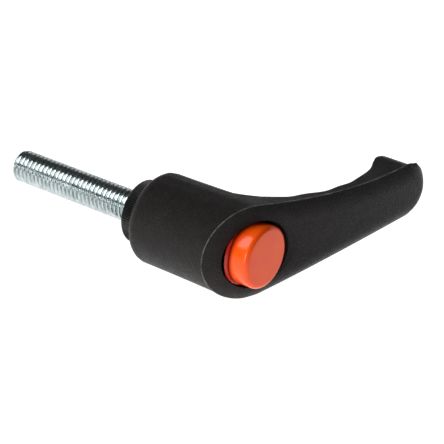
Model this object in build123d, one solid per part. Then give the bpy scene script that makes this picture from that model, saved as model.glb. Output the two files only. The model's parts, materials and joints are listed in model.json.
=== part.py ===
from build123d import *
import math
import os

# Adjustable clamping lever with a threaded stud. Millimetres.
# Each piece is drawn in the lever's own axes: z runs along the stud's axis from the seat towards the
# push button, x runs out along the arm and y across it. The finished pieces are then laid on their
# side, so that z becomes -Y, y becomes +Z, and the centre of the seat is the origin.

# Threaded stud, held by its head inside the clamping insert
thread_radius = 4.0
stud_length = 38.2
stud_chamfer = 0.9
stud_neck_radius = 3.3
stud_neck_top = 1.5
stud_head_radius = 5.2
stud_head_top = 8.0

# Clamping insert with pointed teeth over its whole height
insert_height = 17.0
tooth_count = 84
tooth_tip_radius = 7.8
tooth_root_radius = 7.45
tooth_clearance = 0.1
insert_edge = 0.35
counterbore_radius = 4.15
counterbore_depth = 0.7

# Retaining screw with a shoulder and a socket head
screw_radius = 2.5
screw_start = 10.0
shoulder_radius = 3.0
screw_head_radius = 5.2
screw_head_base = 28.5
screw_head_top = 32.6
socket_across_flats = 4.0
socket_depth = 2.2

# Return spring
wire_radius = 0.45
wire_sides = 6
steps_per_turn = 16
spring_radius = 4.2
spring_turns = 3.5

# Push button
button_radius = 7.7
button_top = 37.4
button_bevel = 0.7
button_edge = 0.25
flange_radius = 8.3
flange_base = 31.4
flange_height = 0.8

# Lever body: hub and its stepped bore
hub_base = 4.0
hub_base_radius = 11.15
hub_top = 33.0
hub_top_radius = 11.85
base_bevel = 1.8
base_edge = 0.7
bore_radius = 7.88
bore_lead_in = 0.3
teeth_start = 13.3
web_base = 17.05
web_top = 19.5
web_bore_radius = 3.08
spring_bore_radius = 6.0
button_bore_base = 26.5
button_bore_radius = 8.4

# Lever body: arm and crown
tangent_angle = 79.0
tip_centre = 46.75
tip_radius = 6.9
lip_height = 35.8
crown_rise = 1.8
crown_run = 3.2
crown_edge = 3.0
parting = 0.05
half_span = 20.0
reach = 60.0


def ridge_height(x):
    """Height of the lever's upper outline: steep at the hub, flattening towards the tip."""
    return 32.6 + 0.40 * x - 0.0033 * x * x


def hub_radius(z):
    """Radius of the conical hub at a height."""
    share = (z - hub_base) / (hub_top - hub_base)
    return hub_base_radius + share * (hub_top_radius - hub_base_radius)


def rod(radius, low, high):
    """A cylinder on the z axis between two heights."""
    return Pos(0, 0, low) * extrude(Circle(radius), high - low)


def turned(points):
    """A solid of revolution about the z axis from (radius, height) points."""
    return revolve(Plane.XZ * make_face(Polyline(*points, close=True)), Axis.Z)


def across_arm(profile):
    """A prism across the arm from a closed (x, height) profile."""
    return Pos(0, half_span, 0) * extrude(Plane.XZ * make_face(profile), 2 * half_span)


def serration(clearance=0.0):
    """Star-shaped face with one pointed tooth per pitch, grown outwards by a clearance."""
    points = []
    for k in range(2 * tooth_count):
        radius = (tooth_tip_radius if k % 2 == 0 else tooth_root_radius) + clearance
        angle = math.pi * k / tooth_count
        points.append((radius * math.cos(angle), radius * math.sin(angle)))
    return make_face(Polyline(*points, close=True))


def threaded_stud():
    """Stud with a chamfered end, a relief at the seat, and a head that the insert holds."""
    return turned([
        (0, -stud_length),
        (thread_radius - stud_chamfer, -stud_length),
        (thread_radius, stud_chamfer - stud_length),
        (thread_radius, 0),
        (stud_neck_radius, 0),
        (stud_neck_radius, stud_neck_top),
        (stud_head_radius, stud_neck_top),
        (stud_head_radius, stud_head_top),
        (0, stud_head_top),
    ])


def serrated_insert():
    """Clamping insert: a toothed bar with a chamfered end, around the stud and the screw."""
    outer = tooth_tip_radius + insert_edge
    envelope = turned([
        (0, 0),
        (tooth_tip_radius - insert_edge, 0),
        (outer, 2 * insert_edge),
        (outer, insert_height),
        (0, insert_height),
    ])
    bar = extrude(serration(), insert_height) & envelope
    bar -= threaded_stud() + rod(counterbore_radius, 0, counterbore_depth)
    return bar - rod(screw_radius, screw_start, insert_height)


def retaining_screw():
    """Shoulder screw that keeps the lever on the insert, with a hexagon socket in its head."""
    screw = rod(screw_radius, screw_start, insert_height)
    screw += rod(shoulder_radius, insert_height, screw_head_base)
    screw += rod(screw_head_radius, screw_head_base, screw_head_top)
    hexagon = RegularPolygon(socket_across_flats / math.sqrt(3), 6)
    return screw - Pos(0, 0, screw_head_top - socket_depth) * extrude(hexagon, socket_depth)


def return_spring():
    """Compression spring between the web of the lever and the head of the screw."""
    low = web_top + wire_radius
    height = screw_head_base - wire_radius - low
    coil = Helix(pitch=height / spring_turns, height=height, radius=spring_radius)
    count = round(spring_turns * steps_per_turn)
    path = Polyline(*[coil @ (k / count) for k in range(count + 1)])
    section = Plane(origin=path @ 0, z_dir=path % 0) * RegularPolygon(wire_radius, wire_sides)
    return Pos(0, 0, low) * sweep(section, path, transition=Transition.RIGHT)


def push_button():
    """Push button with a bevelled rim and a thin flange, seated on the head of the screw."""
    cap = rod(button_radius, flange_base, button_top)
    cap = chamfer(cap.edges().sort_by(Axis.Z)[-1], button_bevel)
    cap = chamfer(cap.edges().sort_by(Axis.Z)[-2:], button_edge)
    cap += rod(flange_radius, flange_base, flange_base + flange_height)
    return cap - rod(screw_head_radius, flange_base, screw_head_top)


def plan():
    """The lever seen along its axis: hub circle, sides that leave it at a tangent, and round tip."""
    angle = math.radians(tangent_angle)
    start_x, start_y = hub_top_radius * math.cos(angle), hub_top_radius * math.sin(angle)
    third = (tip_centre - start_x) / 3
    side = Bezier(
        (start_x, start_y),
        (start_x + third, start_y - third / math.tan(angle)),
        (tip_centre - third, tip_radius),
        (tip_centre, tip_radius),
    )
    tip = ThreePointArc((tip_centre, tip_radius), (tip_centre + tip_radius, 0), (tip_centre, -tip_radius))
    back = ThreePointArc((start_x, start_y), (-hub_top_radius, 0), (start_x, -start_y))
    return make_face(Curve() + [side, tip, mirror(side, Plane.XZ), back])


def blank():
    """The plan drawn out along the axis, upright at the top and narrower towards the hub's base."""
    draft = math.degrees(math.atan2(hub_top_radius - hub_base_radius, hub_top - hub_base))
    shape = Pos(0, 0, hub_top) * plan()
    return extrude(shape, reach - hub_top) + extrude(shape, hub_base - hub_top, taper=draft)


def under_arm():
    """All that lies below the arm and outside the hub, which widens where it runs into the arm."""
    rise = ThreePointArc((3.0, 27.0), (9.2, 31.5), (18.8, 36.0))
    waist = TangentArc(rise @ 1, (34.4, 38.9), tangent=rise % 1)
    fall = TangentArc(waist @ 1, (40.6, 38.0), tangent=waist % 1)
    lip = Polyline(fall @ 1, (44.0, 36.3), (45.4, lip_height), (reach, lip_height))
    below = Polyline(lip @ 1, (reach, 0), (3.0, 0), rise @ 0)
    core = turned([
        (0, 0),
        (hub_radius(0) + parting, 0),
        (hub_radius(28.5) + parting, 28.5),
        (12.8, 31.8),
        (14.6, 34.0),
        (18.0, 36.2),
        (0, 36.2),
    ])
    return across_arm([rise, waist, fall, lip, below]) - core


def above_crown():
    """All that lies over the lever's back, which rises from the hub and levels off at the tip."""
    stations = [-16, -4, 8, 20, 32, 44, reach]
    back = Spline(*[(x, ridge_height(x) + crown_rise) for x in stations])
    lid = Polyline(back @ 1, (reach, 2 * reach), (-16, 2 * reach), back @ 0)
    return across_arm([back, lid])


def largest_upper_face(body):
    """The lever's back: the largest face that looks up."""
    return max(body.faces(), key=lambda face: face.area if face.normal_at().Z > 0.8 else 0)


def stepped_bore():
    """Bore for the insert, toothed at its end, then the web, the spring and the button."""
    bore = rod(bore_radius, 0, teeth_start)
    bore += Pos(0, 0, hub_base) * extrude(Circle(bore_radius + bore_lead_in), bore_lead_in, taper=45)
    teeth = extrude(serration(tooth_clearance), web_base - teeth_start)
    bore += Pos(0, 0, teeth_start) * teeth
    bore += rod(web_bore_radius, web_base, web_top)
    bore += rod(spring_bore_radius, web_top, button_bore_base)
    return bore + rod(button_bore_radius, button_bore_base, reach)


def lever_body():
    """One moulding: conical hub and curved arm in one flowing wall, bevelled crown, stepped bore."""
    body = blank() - above_crown()
    back = largest_upper_face(body)
    body = chamfer(back.edges(), length=crown_run, length2=crown_rise, reference=back)
    body = fillet(largest_upper_face(body).edges(), crown_edge)
    body -= under_arm()
    body = chamfer(body.edges().sort_by(Axis.Z)[0], base_bevel)
    body = chamfer(body.edges().filter_by(GeomType.CIRCLE).sort_by(Axis.Z)[:2], base_edge)
    return body - stepped_bore()


pieces = [threaded_stud, serrated_insert, retaining_screw, return_spring, push_button, lever_body]

os.makedirs("parts", exist_ok=True)
for piece in pieces:
    export_step(Rot(90, 0, 0) * piece(), f"parts/{piece.__name__}.step")
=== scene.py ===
import json
import math
import bpy
import numpy as np
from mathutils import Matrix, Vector

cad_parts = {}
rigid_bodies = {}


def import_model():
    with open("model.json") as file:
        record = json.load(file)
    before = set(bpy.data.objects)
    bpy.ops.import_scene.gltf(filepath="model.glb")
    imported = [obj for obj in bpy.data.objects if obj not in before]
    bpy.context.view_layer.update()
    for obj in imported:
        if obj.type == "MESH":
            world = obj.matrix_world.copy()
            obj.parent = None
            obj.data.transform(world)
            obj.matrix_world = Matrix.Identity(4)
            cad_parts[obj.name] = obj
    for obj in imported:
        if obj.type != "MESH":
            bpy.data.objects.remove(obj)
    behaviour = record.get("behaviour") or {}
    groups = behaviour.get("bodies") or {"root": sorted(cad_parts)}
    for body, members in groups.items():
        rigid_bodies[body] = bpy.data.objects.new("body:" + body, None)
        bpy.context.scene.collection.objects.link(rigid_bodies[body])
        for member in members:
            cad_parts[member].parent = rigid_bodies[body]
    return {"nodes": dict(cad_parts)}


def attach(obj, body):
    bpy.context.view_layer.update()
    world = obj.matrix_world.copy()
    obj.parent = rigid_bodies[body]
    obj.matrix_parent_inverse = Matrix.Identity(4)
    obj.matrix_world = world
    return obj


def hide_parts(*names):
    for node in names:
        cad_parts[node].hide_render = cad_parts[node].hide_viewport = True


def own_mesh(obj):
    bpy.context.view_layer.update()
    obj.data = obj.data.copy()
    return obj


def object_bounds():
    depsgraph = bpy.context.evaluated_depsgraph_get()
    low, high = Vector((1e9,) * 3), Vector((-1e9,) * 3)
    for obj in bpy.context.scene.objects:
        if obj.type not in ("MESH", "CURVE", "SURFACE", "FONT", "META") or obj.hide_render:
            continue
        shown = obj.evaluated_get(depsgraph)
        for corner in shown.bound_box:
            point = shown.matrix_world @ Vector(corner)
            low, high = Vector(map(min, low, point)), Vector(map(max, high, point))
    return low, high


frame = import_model()
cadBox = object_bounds()
mm = 0.001
print("frame loaded:", len(frame["nodes"]), "pieces")

# Everything is drawn in the lever's own axes, in millimetres: z along the stud from the seat towards
# the button, x out along the arm, y across it. toRow lays a point on its side, as the part rests.


# x stays, height along the stud becomes -Y, the way across the arm becomes +Z, and mm become metres
def toRow(points):
    return np.stack([points[..., 0], -points[..., 2], points[..., 1]], axis=-1) * mm


# a hex colour such as #c8cdd2, each channel brought from sRGB to linear
def linearColour(hexCode):
    channels = np.array([int(hexCode[i:i + 2], 16) for i in (1, 3, 5)]) / 255
    linear = np.where(channels <= 0.04045, channels / 12.92, ((channels + 0.055) / 1.055) ** 2.4)
    return (*linear, 1.0)


# one node with its settings and its links; a setting is a property or, failing that, an input
def addNode(material, kind, settings, links={}):
    tree = material.node_tree
    node = tree.nodes.new(kind)
    for key, value in settings.items():
        if hasattr(node, str(key)):
            setattr(node, key, value)
        else:
            node.inputs[key].default_value = value
    for key, source in links.items():
        tree.links.new(source, node.inputs[key])
    return node


# a new material, its nodes cleared, and the coordinates that its patterns read
def newMaterial(name):
    material = bpy.data.materials.new(name)
    material.use_nodes = True
    material.node_tree.nodes.clear()
    coordinates = addNode(material, "ShaderNodeTexCoord", {}).outputs["Object"]
    return material, coordinates


def finishMaterial(material, shader):
    addNode(material, "ShaderNodeOutputMaterial", {}, {"Surface": shader.outputs[0]})
    return material


# noise texture whose grain is a size in millimetres, brought to a range of values
def grain(material, coordinates, size, low, high, detail=2.0, roughness=0.5):
    noise = addNode(material, "ShaderNodeTexNoise",
                    {"Scale": 1 / (size * mm), "Detail": detail, "Roughness": roughness},
                    {"Vector": coordinates})
    spread = addNode(material, "ShaderNodeMapRange",
                     {"From Min": 0.25, "From Max": 0.75, "To Min": low, "To Max": high},
                     {"Value": noise.outputs["Fac"]})
    return spread.outputs[0]


# from one colour to another as a pattern goes from nought to one
def mixColours(material, factor, first, second):
    ramp = addNode(material, "ShaderNodeValToRGB", {}, {"Fac": factor})
    ramp.color_ramp.elements[0].color = linearColour(first)
    ramp.color_ramp.elements[1].color = linearColour(second)
    return ramp.outputs["Color"]


# a normal that dips and rises with a pattern, over a depth in millimetres
def bump(material, height, distance, strength):
    node = addNode(material, "ShaderNodeBump", {"Distance": distance * mm, "Strength": strength},
                   {"Height": height})
    return node.outputs["Normal"]


# The edge of the lever's back, by the distance x along the arm: height + slope x - bend x x
backEdge = {"height": 32.6, "slope": 0.40, "bend": 0.0033}

# Glass-fibre reinforced nylon, moulded against a spark-eroded tool: a warm black that is never shiny,
# with a fine even grain that catches the light as tiny specks. The grain is drawn at 0.3 mm, coarser
# than the real one, so that it shows. Along the mould's seam at the edge of the back, a pale broken
# line is painted into the colour as a highlight, standing in for the glint on the seam's edge.
nylonLook = {"dark": "#181514", "light": "#23201f", "roughness": (0.36, 0.47), "grainSize": 0.3,
             "grainDepth": 0.7, "grainStrength": 0.6, "mottleSize": 2.6, "seamHighlight": "#8d8a86",
             "highlightBreakLength": 2.4, "seamWidth": 0.17}


def mouldedNylon():
    look = nylonLook
    material, place = newMaterial("mouldedBlackNylon")
    mottle = grain(material, place, look["mottleSize"], 0.0, 1.0, 4.0)
    fine = grain(material, place, look["grainSize"], 0.0, 1.0, 2.0)
    colour = mixColours(material, mottle, look["dark"], look["light"])
    rough = grain(material, place, look["mottleSize"] * 0.4, *look["roughness"], 3.0)

    # distance from the edge of the back, in metres: the size of (bend x - slope) x - height - y
    axes = addNode(material, "ShaderNodeSeparateXYZ", {}, {"Vector": place})
    inner = addNode(material, "ShaderNodeMath",
                    {"operation": "MULTIPLY_ADD", 1: backEdge["bend"] / mm, 2: -backEdge["slope"]},
                    {0: axes.outputs["X"]})
    outer = addNode(material, "ShaderNodeMath", {"operation": "MULTIPLY_ADD", 2: -backEdge["height"] * mm},
                    {0: inner.outputs[0], 1: axes.outputs["X"]})
    above = addNode(material, "ShaderNodeMath", {"operation": "SUBTRACT"},
                    {0: outer.outputs[0], 1: axes.outputs["Y"]})
    near = addNode(material, "ShaderNodeMath", {"operation": "ABSOLUTE"}, {0: above.outputs[0]})
    # painted highlight: a pale line along the seam at the edge of the back, broken up by noise, mixed into
    # the colour
    line = addNode(material, "ShaderNodeMapRange",
                   {"From Min": 0.3 * look["seamWidth"] * mm, "From Max": look["seamWidth"] * mm,
                    "To Min": 1.0, "To Max": 0.0}, {"Value": near.outputs[0]})
    gaps = grain(material, place, look["highlightBreakLength"], -0.1, 1.15, 3.0)
    brokenHighlight = addNode(material, "ShaderNodeMath", {"operation": "MULTIPLY"}, {0: line.outputs[0], 1: gaps})
    withSeamHighlight = addNode(material, "ShaderNodeMix", {"data_type": "RGBA", 7: linearColour(look["seamHighlight"])},
                   {0: brokenHighlight.outputs[0], 6: colour})
    shader = addNode(material, "ShaderNodeBsdfPrincipled", {"IOR": 1.53, "Specular IOR Level": 0.16},
                     {"Base Color": withSeamHighlight.outputs[2], "Roughness": rough,
                      "Normal": bump(material, fine, look["grainDepth"], look["grainStrength"])})
    return finishMaterial(material, shader)


# Acetal, moulded in a polished tool: a strong orange, smooth and half glossy, a little see-through.
# Low in the lever's bore a painted shade makes it a deeper, darker red.
acetalLook = {"dark": "#fa4e06", "light": "#ff5c0a", "roughness": 0.2, "mottleSize": 5.0,
              "boreShadeColour": "#a01c08", "boreShadeTop": 33.4, "boreShadeBase": 32.2, "waveSize": 1.6, "waveDepth": 0.01}


def polishedAcetal():
    look = acetalLook
    material, place = newMaterial("polishedOrangeAcetal")
    colour = mixColours(material, grain(material, place, look["mottleSize"], 0.0, 1.0),
                        look["dark"], look["light"])

    # painted shade: the foot of the side and the flange lie in the bore's shadow, so the colour is darkened
    # to a deep red by height
    axes = addNode(material, "ShaderNodeSeparateXYZ", {}, {"Vector": place})
    depth = addNode(material, "ShaderNodeMapRange",
                    {"From Min": -look["boreShadeTop"] * mm, "From Max": -look["boreShadeBase"] * mm},
                    {"Value": axes.outputs["Y"]})
    shaded = addNode(material, "ShaderNodeMix", {"data_type": "RGBA", 7: linearColour(look["boreShadeColour"])},
                     {0: depth.outputs[0], 6: colour})
    wave = bump(material, grain(material, place, look["waveSize"], 0.0, 1.0, 1.0), look["waveDepth"], 0.25)
    shader = addNode(material, "ShaderNodeBsdfPrincipled",
                     {"IOR": 1.48, "Specular IOR Level": 0.34, "Roughness": look["roughness"],
                      "Subsurface Weight": 0.08, "Subsurface Radius": (0.0012, 0.0004, 0.0002),
                      "Subsurface Scale": 1.0},
                     {"Base Color": shaded.outputs[2], "Normal": wave})
    return finishMaterial(material, shader)


# Steel with bright zinc plating: a cool, clear metal whose plating is faintly cloudy
zincLook = {"dark": "#98a1a2", "light": "#ccd5d5", "roughness": (0.18, 0.28), "cloudSize": 1.4}


def zincPlatedSteel():
    look = zincLook
    material, place = newMaterial("zincPlatedSteel")
    cloud = grain(material, place, look["cloudSize"], 0.0, 1.0, 3.0)
    colour = mixColours(material, cloud, look["dark"], look["light"])
    rough = grain(material, place, look["cloudSize"] * 0.5, *look["roughness"], 3.0)
    shader = addNode(material, "ShaderNodeBsdfPrincipled", {"Metallic": 1.0},
                     {"Base Color": colour, "Roughness": rough})
    return finishMaterial(material, shader)


# Blackened steel, milled and dipped: nearly black, with a dull sheen along the teeth
blackenedLook = {"dark": "#0c0c0d", "light": "#18181a", "roughness": (0.34, 0.5), "cloudSize": 0.8}


def blackenedSteel():
    look = blackenedLook
    material, place = newMaterial("blackenedSteel")
    cloud = grain(material, place, look["cloudSize"], 0.0, 1.0, 3.0)
    colour = mixColours(material, cloud, look["dark"], look["light"])
    rough = grain(material, place, look["cloudSize"], *look["roughness"], 3.0)
    shader = addNode(material, "ShaderNodeBsdfPrincipled", {"IOR": 1.5, "Specular IOR Level": 0.3},
                     {"Base Color": colour, "Roughness": rough})
    return finishMaterial(material, shader)


# Drawn spring wire: grey steel with a soft gleam
wireLook = {"dark": "#8d8e8c", "light": "#b9bab8", "roughness": 0.32, "cloudSize": 0.5}


def drawnWire():
    look = wireLook
    material, place = newMaterial("drawnSpringWire")
    cloud = grain(material, place, look["cloudSize"], 0.0, 1.0, 2.0)
    colour = mixColours(material, cloud, look["dark"], look["light"])
    shader = addNode(material, "ShaderNodeBsdfPrincipled",
                     {"Metallic": 1.0, "Roughness": look["roughness"]}, {"Base Color": colour})
    return finishMaterial(material, shader)


sharpAngle = 34.0  # degrees; a steeper edge is shaded as an edge


# a mesh from an (around, along, 3) array of points: quads between neighbours, closed round the first
# way, and closed along the second way too (a ring-shaped skin) or ended by a point at each pole
def gridPiece(name, points, material, closeAlong=False, poles=None):
    around, along = points.shape[:2]
    i = np.arange(around)[:, None]
    j = np.arange(along if closeAlong else along - 1)[None, :]
    nextI, nextJ = (i + 1) % around, (j + 1) % along
    quads = np.stack([i * along + j, i * along + nextJ, nextI * along + nextJ, nextI * along + j], -1)
    vertices = points.reshape(-1, 3)
    faces = quads.reshape(-1, 4)
    corners = faces.ravel()
    sizes = np.full(len(faces), 4)
    if poles is not None:
        k = np.arange(around)
        first, last = len(vertices), len(vertices) + 1
        startFan = np.stack([np.full(around, first), k * along, (k + 1) % around * along], -1)
        endFan = np.stack([np.full(around, last), (k + 1) % around * along + along - 1,
                           k * along + along - 1], -1)
        vertices = np.concatenate([vertices, np.asarray(poles, float).reshape(2, 3)])
        corners = np.concatenate([corners, startFan.ravel(), endFan.ravel()])
        sizes = np.concatenate([sizes, np.full(2 * around, 3)])
    mesh = bpy.data.meshes.new(name)
    mesh.vertices.add(len(vertices))
    mesh.vertices.foreach_set("co", toRow(vertices).astype(np.float32).ravel())
    mesh.loops.add(len(corners))
    mesh.loops.foreach_set("vertex_index", corners.astype(np.int32))
    mesh.polygons.add(len(sizes))
    mesh.polygons.foreach_set("loop_start", np.concatenate([[0], np.cumsum(sizes)[:-1]]).astype(np.int32))
    mesh.polygons.foreach_set("loop_total", sizes.astype(np.int32))
    mesh.polygons.foreach_set("use_smooth", np.ones(len(sizes), bool))
    mesh.update(calc_edges=True)
    mesh.validate()
    mesh.set_sharp_from_angle(angle=math.radians(sharpAngle))
    mesh.materials.append(material)
    piece = bpy.data.objects.new(name, mesh)
    bpy.context.scene.collection.objects.link(piece)
    return piece


# places along a length for each row, from nought on: short steps over the first part, which is the
# smaller of a length and a share of the whole, then longer steps that stop short of the end
def steps(total, near, share, nearCount, farCount):
    nearLength = np.minimum(near, share * total)[:, None]
    close = np.linspace(0, 1, nearCount, endpoint=False)[None, :]
    far = np.linspace(0, 1, farCount, endpoint=False)[None, :]
    return np.concatenate([close * nearLength, nearLength + far * (total[:, None] - nearLength)], axis=1)


# Lever body, in millimetres: hub and outline, back, mould's traces, underside of the arm, where the
# underside blends into the hub, then the bore, and last the rows of the grid. A pair is a start and
# an end between which something rises or fades.
lever = {
    "hubBase": 4.0, "hubBaseRadius": 11.25, "hubTop": 33.0, "hubTopRadius": 11.85, "hubEdge": 2.8,
    "tipCentre": 46.75, "tipRadius": 6.9, "tangentAngle": 79.0,
    "crownRise": 2.0, "crownRun": 5.0, "ridgeEdge": 0.25, "rimEdge": 0.25,
    "seamHeight": 0.2, "seamWidth": 0.15, "gateAngle": 56.0, "gateHeight": 0.4, "gateWidth": 0.5,
    "armDepth": 2.2, "rootStart": 3.0, "rootDrop": 5.4, "rootRun": 6.5, "slopeStart": 24.0,
    "slopeEnd": 40.4, "slopeDepth": 3.3, "slopeBow": 1.7, "hookStart": 39.6, "hookEnd": 47.4,
    "hookDepth": 3.55, "hookInset": 0.6, "insetAlong": (34.0, 46.0), "insetBelow": (0.1, 0.9),
    "waveDepth": 0.28, "waveLength": 9.6, "wavePeak": 17.2, "waveIn": (8.0, 14.0), "waveOut": (27.0, 35.0),
    "underEdge": 0.5, "sharpEdge": 0.05, "underEdgeFade": (0.5, 4.0), "armpit": 4.0,
    "coreGrowth": 6.0, "coreAngles": (68.0, 92.0),
    "buttonBore": 8.4, "buttonBoreBase": 26.5, "springBore": 6.0, "webTop": 19.5, "webBore": 3.08,
    "webBase": 17.05, "teethStart": 13.3, "toothTip": 7.55, "toothRoot": 7.9, "insertBore": 7.88,
    "leadIn": 0.3, "teeth": 84, "stepsPerTooth": 6,
    "wallRows": 9.2, "farSideDrop": 7.0, "farSideAngles": (79.0, 115.0),
}


# the higher of two fields, with the edge where they meet rounded to a radius
def higher(a, b, radius):
    inside = np.minimum(-radius, np.maximum(a, b))
    return inside + np.hypot(np.maximum(a + radius, 0), np.maximum(b + radius, 0))


# the lower of two fields, rounded in the same way
def lower(a, b, radius):
    return -higher(-a, -b, radius)


# 0 before start, 1 after end, and a smooth rise between them
def rise(value, start, end):
    t = np.clip((value - start) / (end - start), 0, 1)
    return t * t * (3 - 2 * t)


# height of the lever's outline: steep at the hub and level at the tip
def ridgeHeight(x):
    return backEdge["height"] + backEdge["slope"] * x - backEdge["bend"] * x * x


# radius of the hub at a height: it widens with the square of the height, then stays upright
def hubRadius(z):
    p = lever
    share = np.clip((z - p["hubBase"]) / (p["hubTop"] - p["hubBase"]), 0, 1)
    return p["hubBaseRadius"] + (p["hubTopRadius"] - p["hubBaseRadius"]) * share ** 2


# half the arm's width: it leaves the hub's circle along its tangent and runs into the round tip
def halfWidth(x):
    p = lever
    angle = math.radians(p["tangentAngle"])
    startX, startY = p["hubTopRadius"] * math.cos(angle), p["hubTopRadius"] * math.sin(angle)
    length = p["tipCentre"] - startX
    v = np.clip((p["tipCentre"] - x) / length, 0, 1.2)
    drop = startY - p["tipRadius"]
    cubic = length / math.tan(angle) - 2 * drop
    return p["tipRadius"] + (drop - cubic) * v ** 2 + cubic * v ** 3


# distance outside the lever's outline seen from above: hub circle, arm sides, round tip
def outlineDistance(x, y):
    p = lever
    startX = p["hubTopRadius"] * math.cos(math.radians(p["tangentAngle"]))
    slope = (halfWidth(x + 0.01) - halfWidth(x - 0.01)) / 0.02
    hub = np.hypot(x, y) - p["hubTopRadius"]
    arm = (np.abs(y) - halfWidth(x)) / np.sqrt(1 + slope ** 2)
    tip = np.hypot(x - p["tipCentre"], y) - p["tipRadius"]
    return np.where(x < startX, hub, np.where(x < p["tipCentre"], arm, tip))


# the lever's back: the outline's height, raised by a shoulder that levels off away from the edge
def crownHeight(x, y):
    inward = np.clip(-outlineDistance(x, y) / lever["crownRun"], 0, 1)
    return ridgeHeight(x) + lever["crownRise"] * (1 - (1 - inward) ** 3)


# underside of the arm: a depth below the outline that is largest at the hub, then even, with shallow
# finger waves, and grows again over a long slope and a short steep one to the hook at the tip
def underHeight(x):
    p = lever
    root = p["rootDrop"] * np.exp(-(x - p["rootStart"]) / p["rootRun"])
    along = np.clip((x - p["slopeStart"]) / (p["slopeEnd"] - p["slopeStart"]), 0, 1)
    slope = p["slopeDepth"] * along ** p["slopeBow"]
    hook = p["hookDepth"] * rise(x, p["hookStart"], p["hookEnd"])
    wave = np.cos(2 * np.pi * (x - p["wavePeak"]) / p["waveLength"])
    wave = wave * rise(x, *p["waveIn"]) * (1 - rise(x, *p["waveOut"]))
    return ridgeHeight(x) - p["armDepth"] - root - slope - hook - p["waveDepth"] * wave


# the mould's traces on the outline's wall: a fine raised seam along the edge of the back, and a small
# nub beside the tip where the plastic entered
def mouldTraces(x, y, z):
    p = lever
    seam = p["seamHeight"] * np.exp(-((z - ridgeHeight(x)) / p["seamWidth"]) ** 2)
    angle = math.radians(p["gateAngle"])
    gateX = p["tipCentre"] + p["tipRadius"] * math.cos(angle)
    gateY = p["tipRadius"] * math.sin(angle)
    away = np.sqrt((x - gateX) ** 2 + (y - gateY) ** 2 + (z - ridgeHeight(gateX) - 0.2) ** 2)
    return seam + p["gateHeight"] * np.exp(-(away / p["gateWidth"]) ** 2)


# a field that is nought on the lever's outer skin, below nought inside: the outline's wall, which
# steps in a little below the back's edge at the hook, cut by the underside (which is blended into
# the hub, and left out on the hub's far side), the hub's base, the back and the button's bore
def leverField(p3):
    p = lever
    x, y, z = p3[..., 0], p3[..., 1], p3[..., 2]
    radius = np.hypot(x, y)
    angle = np.degrees(np.arctan2(np.abs(y), x))
    traces = mouldTraces(x, y, z)
    inset = p["hookInset"] * rise(x, *p["insetAlong"]) * rise(ridgeHeight(x) - z, *p["insetBelow"])
    wall = outlineDistance(x, y) + p["hubTopRadius"] - hubRadius(z) + inset - traces
    slope = (underHeight(x + 0.01) - underHeight(x - 0.01)) / 0.02
    under = (underHeight(x) - z) / np.sqrt(1 + slope ** 2)
    core = radius - hubRadius(z) - p["coreGrowth"] * rise(angle, *p["coreAngles"])
    below = lower(core, under, p["armpit"])
    underEdge = p["sharpEdge"] + (p["underEdge"] - p["sharpEdge"]) * (1 - rise(under, *p["underEdgeFade"]))
    skin = higher(wall, below, underEdge)
    skin = higher(skin, p["hubBase"] - z, p["hubEdge"])
    skin = higher(skin, z - crownHeight(x, y) - traces, p["ridgeEdge"])
    return np.where(z > p["buttonBoreBase"], higher(skin, p["buttonBore"] - radius, p["rimEdge"]), skin)


# moves points along the field's slope until the field is nought there
def settle(points, rounds=8, tiny=0.004):
    for _ in range(rounds):
        value = leverField(points)
        slope = np.stack([(leverField(points + d) - leverField(points - d)) / (2 * tiny)
                          for d in np.eye(3) * tiny], axis=-1)
        size = np.maximum((slope ** 2).sum(-1), 0.05)
        points = points - slope * np.clip(value / size, -1.5, 1.5)[..., None]
    return points


# points on the outline for a turn about the stud's axis: by angle round the hub, and for the arm by
# length along its side and round its tip
def outlinePoints(turn):
    p = lever
    tangent = math.radians(p["tangentAngle"])
    sideX = np.linspace(p["hubTopRadius"] * math.cos(tangent), p["tipCentre"], 400)
    bow = np.linspace(np.pi / 2, 0, 120)[1:]
    side = np.stack([sideX, halfWidth(sideX)], -1)
    tip = np.stack([p["tipCentre"] + p["tipRadius"] * np.cos(bow), p["tipRadius"] * np.sin(bow)], -1)
    path = np.concatenate([side, tip])
    length = np.concatenate([[0], np.cumsum(np.linalg.norm(np.diff(path, axis=0), axis=1))])
    way = np.clip(1 - np.abs(turn) / tangent, 0, 1) * length[-1]
    alongArm = np.stack([np.interp(way, length, path[:, 0]),
                         np.interp(way, length, path[:, 1]) * np.sign(turn + 1e-12)], -1)
    roundHub = np.stack([np.cos(turn), np.sin(turn)], -1) * p["hubTopRadius"]
    return np.where((np.abs(turn) < tangent)[:, None], alongArm, roundHub)


# The grid's rows. The lengths in them only say how close together the rows lie, in millimetres, and
# where the points start before they are settled on the field.


# over the back: from the button's bore out to the outline, closest together at the outline
def backRows(ray, outline):
    rim = ray * lever["buttonBore"]
    span = np.linalg.norm(outline - rim, axis=1)
    share = 1 - steps(span, 4.5, 0.75, 28, 18)[:, ::-1] / span[:, None]
    plan = rim[:, None] + (outline - rim)[:, None] * share[..., None]
    return np.dstack([plan, crownHeight(plan[..., 0], plan[..., 1])])


# down the outline's wall to a height
def sideRows(outline, bottom):
    top = ridgeHeight(outline[:, 0])
    down = steps(top - bottom, 1.0, 0.4, 9, 10)[:, 1:]
    return np.dstack([np.repeat(outline[:, None], down.shape[1], 1), top[:, None] - down])


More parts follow.
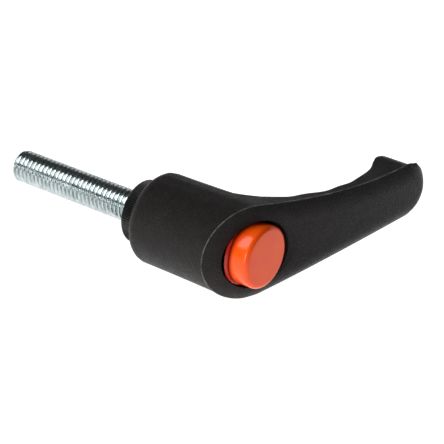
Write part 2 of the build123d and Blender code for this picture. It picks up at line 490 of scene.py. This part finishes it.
# in under the arm from the outline at one height to the hub at another
def underRows(turn, outline, bottom, hubPoint, meeting):
    gap = np.maximum(np.linalg.norm(outline - hubPoint, axis=1), 0.5)
    start = steps(gap, 2.2, 0.3, 8, 14)
    end = gap[:, None] - steps(gap * 0.999, 5.0, 0.45, 12, 1)[:, :-1]
    share = np.sort(np.concatenate([start, end], 1) / gap[:, None], axis=1)
    plan = outline[:, None] + (hubPoint - outline)[:, None] * share[..., None]
    straight = bottom[:, None] + (meeting - bottom)[:, None] * share
    onArm = np.abs(turn) < math.radians(lever["tangentAngle"]) - 0.3
    return np.dstack([plan, np.where(onArm[:, None], underHeight(plan[..., 0]), straight)])


# down the hub from where the arm meets it, round its lower edge and in to the mouth of the bore
def hubRows(ray, meeting):
    p = lever
    count = len(ray)
    height = meeting[:, None] - steps(meeting - p["hubBase"], 5.0, 0.4, 12, 14)
    height = np.concatenate([height, np.full((count, 1), p["hubBase"])], 1)
    hub = np.dstack([ray[:, None, :] * hubRadius(height)[..., None], height])
    mouth = p["insertBore"] + p["leadIn"]
    radius = np.concatenate([p["hubBaseRadius"] - np.linspace(0.3, p["hubEdge"], 9)[:-1], [mouth + 0.15]])
    level = np.full((count, len(radius)), p["hubBase"])
    base = np.dstack([ray[:, None, :] * radius[None, :, None], level])
    return np.concatenate([hub, base], 1)


# back up through the bore: each stop is a radius and a height, toothed between the first plain ones
def boreRows(ray):
    p = lever
    count = len(ray)
    tooth = np.abs((np.arange(count) / p["stepsPerTooth"] + 0.5) % 1 - 0.5) * 2
    teeth = p["toothRoot"] + (p["toothTip"] - p["toothRoot"]) * tooth
    rimHeight = crownHeight(ray[:, 0] * p["buttonBore"], ray[:, 1] * p["buttonBore"])
    stops = [(p["insertBore"] + p["leadIn"], p["hubBase"]), (p["insertBore"], p["hubBase"] + p["leadIn"]),
             (p["insertBore"], p["teethStart"]), (teeth, p["teethStart"]), (teeth, p["webBase"]),
             (p["webBore"], p["webBase"]), (p["webBore"], p["webTop"]), (p["springBore"], p["webTop"]),
             (p["springBore"], p["buttonBoreBase"]), (p["buttonBore"], p["buttonBoreBase"]),
             (p["buttonBore"], rimHeight - 1.2 * p["rimEdge"])]
    rows = [np.column_stack([ray * np.broadcast_to(radius, count)[:, None], np.broadcast_to(height, count)])
            for radius, height in stops]
    return np.stack(rows, 1)


# outer skin and stepped bore as one ring-shaped grid: the first way goes round the stud's axis, the
# second over the back, down the side, in under the arm, down the hub and back up through the bore.
# The outer part is then settled on the field.
def leverSkin():
    p = lever
    count = p["teeth"] * p["stepsPerTooth"]
    angles = 2 * np.pi * np.arange(count) / count
    turn = np.where(angles > np.pi, angles - 2 * np.pi, angles)
    ray = np.stack([np.cos(angles), np.sin(angles)], -1)
    outline = outlinePoints(turn)
    bottom = np.maximum(underHeight(outline[:, 0]), ridgeHeight(outline[:, 0]) - p["wallRows"])
    hubPoint = ray * p["hubTopRadius"]
    for _ in range(3):
        meeting = np.minimum(underHeight(np.maximum(hubPoint[:, 0], 1.0)), bottom - 1.0)
        hubPoint = ray * hubRadius(meeting)[:, None]
    meeting = meeting - p["farSideDrop"] * rise(np.abs(np.degrees(turn)), *p["farSideAngles"])
    outer = [backRows(ray, outline), sideRows(outline, bottom),
             underRows(turn, outline, bottom, hubPoint, meeting), hubRows(ray, meeting)]
    return np.concatenate([settle(np.concatenate(outer, 1)), boreRows(ray)], 1)


nylon = mouldedNylon()
leverBody = gridPiece("leverMoulding", leverSkin(), nylon, closeAlong=True)
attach(leverBody, "lever")
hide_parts("lever_body")
print("lever body:", len(leverBody.data.polygons), "faces")

# Threaded stud
stud = {"radius": 3.98, "rootRadius": 3.26, "pitch": 1.25, "crest": 0.4, "flankAngle": 30.0,
        "length": 38.2, "tipRadius": 3.1, "runOut": (-0.9, -0.2), "neckRadius": 3.3, "neckTop": 1.5,
        "headRadius": 5.2, "headTop": 8.0, "around": 72, "stepsPerTurn": 20}


# radius by angle and height: two flanks, 60 degrees apart, that fall from a narrow crest to a narrow
# root, their place shifted by one pitch for each turn, held under a cone of 45 degrees at the tip, and
# run out to a plain neck at the seat
def threadSkin():
    p = stud
    count = int(p["length"] / p["pitch"] * p["stepsPerTurn"])
    height = np.linspace(-p["length"], 0, count + 1)[None, :]
    angle = (2 * np.pi * np.arange(p["around"]) / p["around"])[:, None]
    phase = (height / p["pitch"] - angle / (2 * np.pi)) % 1
    fromCrest = np.abs(phase - 0.5) * p["pitch"]
    radius = p["radius"] - (fromCrest - p["crest"] / 2) / math.tan(math.radians(p["flankAngle"]))
    radius = np.clip(radius, p["rootRadius"], p["radius"])
    radius = np.minimum(radius, p["tipRadius"] + height + p["length"])
    runOut = rise(height, *p["runOut"])
    radius = radius * (1 - runOut) + p["neckRadius"] * runOut
    shaft = np.stack([radius * np.cos(angle), radius * np.sin(angle), height + 0 * angle], -1)
    stops = [(p["neckRadius"], p["neckTop"]), (p["headRadius"], p["neckTop"]),
             (p["headRadius"], p["headTop"])]
    head = np.stack([np.column_stack([r * np.cos(angle[:, 0]), r * np.sin(angle[:, 0]),
                                      np.full(p["around"], h)]) for r, h in stops], 1)
    return np.concatenate([shaft, head], 1)[:, ::-1]


zinc = zincPlatedSteel()
studPiece = gridPiece("zincStud", threadSkin(), zinc,
                      poles=[(0, 0, stud["headTop"]), (0, 0, -stud["length"])])
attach(studPiece, "clamping_element")
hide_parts("threaded_stud")
print("stud:", len(studPiece.data.polygons), "faces")

# Push button
button = {"radius": 7.7, "top": 37.4, "rim": 1.1, "faceRing": 3.0, "footRise": 0.25, "footInset": 0.12,
          "flangeRadius": 8.25, "flangeBase": 31.4, "flangeHeight": 0.8, "flangeEdge": 0.15,
          "socketRadius": 5.2, "socketTop": 32.6, "around": 160}


# a profile of (radius, height) turned about the axis: face, rounded rim, side, flange, socket
def buttonSkin():
    p = button
    bow = np.radians(np.linspace(90, 0, 9))
    rim = [(p["radius"] - p["rim"] + p["rim"] * math.cos(a), p["top"] - p["rim"] + p["rim"] * math.sin(a))
           for a in bow]
    flangeTop = p["flangeBase"] + p["flangeHeight"]
    profile = [(p["faceRing"], p["top"]), *rim, (p["radius"], flangeTop + p["footRise"]),
               (p["radius"] - p["footInset"], flangeTop), (p["flangeRadius"] - p["flangeEdge"], flangeTop),
               (p["flangeRadius"], flangeTop - p["flangeEdge"]), (p["flangeRadius"], p["flangeBase"]),
               (p["socketRadius"], p["flangeBase"]), (p["socketRadius"], p["socketTop"])]
    r, h = np.array(profile).T
    angle = 2 * np.pi * np.arange(p["around"])[:, None] / p["around"]
    return np.stack([r * np.cos(angle), r * np.sin(angle), h + 0 * angle], -1)


buttonPiece = gridPiece("orangeButton", buttonSkin(), polishedAcetal(),
                        poles=[(0, 0, button["top"]), (0, 0, button["socketTop"])])
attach(buttonPiece, "clamping_element")
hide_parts("push_button")
print("button:", len(buttonPiece.data.polygons), "faces")

# Return spring: it lies between the lever's web and the screw's head, and the lever's lift shortens it
# by the travel, from the room it has at rest
spring = {"coilRadius": 4.2, "wireRadius": 0.45, "turns": 3.5, "start": 19.95, "end": 28.05,
          "webTop": 19.5, "travel": 4.0, "room": 9.0, "around": 20, "along": 240}


# a round wire along a helix: each ring of points lies across the helix's direction
def springSkin():
    p = spring
    share = np.linspace(0, 1, p["along"])
    angle = 2 * np.pi * p["turns"] * share
    height = p["start"] + (p["end"] - p["start"]) * share
    out = np.stack([np.cos(angle), np.sin(angle), 0 * angle], -1)
    centre = p["coilRadius"] * out + np.stack([0 * angle, 0 * angle, height], -1)
    climb = (p["end"] - p["start"]) / (2 * np.pi * p["turns"])
    across = [climb * np.sin(angle), -climb * np.cos(angle), np.full_like(angle, p["coilRadius"])]
    across = np.stack(across, -1) / math.hypot(climb, p["coilRadius"])
    turn = 2 * np.pi * np.arange(p["around"])[:, None, None] / p["around"]
    rings = centre + p["wireRadius"] * (np.cos(turn) * out + np.sin(turn) * across)
    return rings, centre[0], centre[-1]


rings, springStart, springEnd = springSkin()
springPiece = gridPiece("springCoil", rings, drawnWire(), poles=[springStart, springEnd])
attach(springPiece, "spring")
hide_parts("return_spring")
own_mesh(springPiece)
print("spring:", len(springPiece.data.polygons), "faces")

# Pieces whose CAD shape stays
for node, material in (("serrated_insert", blackenedSteel()), ("retaining_screw", zinc)):
    mesh = frame["nodes"][node].data
    mesh.materials.clear()
    mesh.materials.append(material)
print("insert and screw dressed")

# Floor, lights and camera
stage = {"floorSize": 8.0, "floorGlow": 1.0, "glowCentre": (0.024, -0.006, 0.0), "glowRadius": 0.14,
         "glowEnd": 0.55, "outerGlow": 0.35, "floorColour": "#b8b8b8", "walls": 0.05}


# opal glass, lit from below over a wide round patch, so nothing on it throws a heavy shadow
def lightTable():
    material, place = newMaterial("opalLightTable")
    away = addNode(material, "ShaderNodeVectorMath", {"operation": "DISTANCE", 1: stage["glowCentre"]},
                   {0: place})
    glow = addNode(material, "ShaderNodeMapRange",
                   {"interpolation_type": "SMOOTHSTEP",
                    "From Min": stage["glowRadius"], "From Max": stage["glowEnd"],
                    "To Min": stage["floorGlow"], "To Max": stage["outerGlow"]},
                   {"Value": away.outputs["Value"]})
    shader = addNode(material, "ShaderNodeBsdfPrincipled",
                     {"Base Color": linearColour(stage["floorColour"]), "Roughness": 0.9,
                      "Specular IOR Level": 0.0, "Emission Color": linearColour("#ffffff")},
                     {"Emission Strength": glow.outputs[0]})
    return finishMaterial(material, shader)


half = stage["floorSize"] / 2
corners = [(-half, -half), (half, -half), (half, half), (-half, half)]
floorMesh = bpy.data.meshes.new("paleFloor")
floorMesh.from_pydata([(x, y, cadBox[0].z) for x, y in corners], [], [(0, 1, 2, 3)])
floorMesh.materials.append(lightTable())
floor = bpy.data.objects.new("paleFloor", floorMesh)
bpy.context.scene.collection.objects.link(floor)

# dim studio walls, so that the light comes from the floor and the soft boxes
world = bpy.data.worlds.new("softStudio")
bpy.context.scene.world = world
world.use_nodes = True
world.node_tree.nodes["Background"].inputs["Color"].default_value = (1, 1, 1, 1)
world.node_tree.nodes["Background"].inputs["Strength"].default_value = stage["walls"]

lamps = {
    "softBoxAbove": {"at": (-0.32, 0.43, 0.61), "size": 0.6, "power": 4.4},
    "softBoxLeft": {"at": (-0.90, 0.10, 0.22), "size": 0.45, "power": 4.3},
    "softBoxBack": {"at": (0.72, 0.50, 0.27), "size": 0.4, "power": 0.22},
    "softBoxRight": {"at": (0.85, -0.25, 0.12), "size": 0.4, "power": 0.4},
}
aim = Vector((0.01, -0.01, 0.0))
for name, lamp in lamps.items():
    light = bpy.data.lights.new(name, "AREA")
    light.shape = "DISK"
    light.size = lamp["size"]
    light.energy = lamp["power"]
    lampObject = bpy.data.objects.new(name, light)
    lampObject.location = lamp["at"]
    lampObject.rotation_mode = "QUATERNION"
    lampObject.rotation_quaternion = (aim - Vector(lamp["at"])).to_track_quat("-Z", "Y")
    bpy.context.scene.collection.objects.link(lampObject)

cameraView = {"place": (-0.39572, -0.33134, 0.28389), "azimuth": -52.2, "elevation": 29.1,
              "lens": 200.4, "sensor": 36.0}
azimuth, elevation = math.radians(cameraView["azimuth"]), math.radians(cameraView["elevation"])
backward = Vector((math.sin(azimuth) * math.cos(elevation), -math.cos(azimuth) * math.cos(elevation),
                   math.sin(elevation)))
cameraData = bpy.data.cameras.new("camera")
cameraData.lens = cameraView["lens"]
cameraData.sensor_width = cameraView["sensor"]
cameraData.clip_start = 0.01
camera = bpy.data.objects.new("camera", cameraData)
camera.location = cameraView["place"]
camera.rotation_mode = "QUATERNION"
camera.rotation_quaternion = (-backward).to_track_quat("-Z", "Y")
bpy.context.scene.collection.objects.link(camera)
bpy.context.scene.camera = camera
print("floor, lights and camera set")

bpy.context.scene.view_settings.view_transform = "Standard"
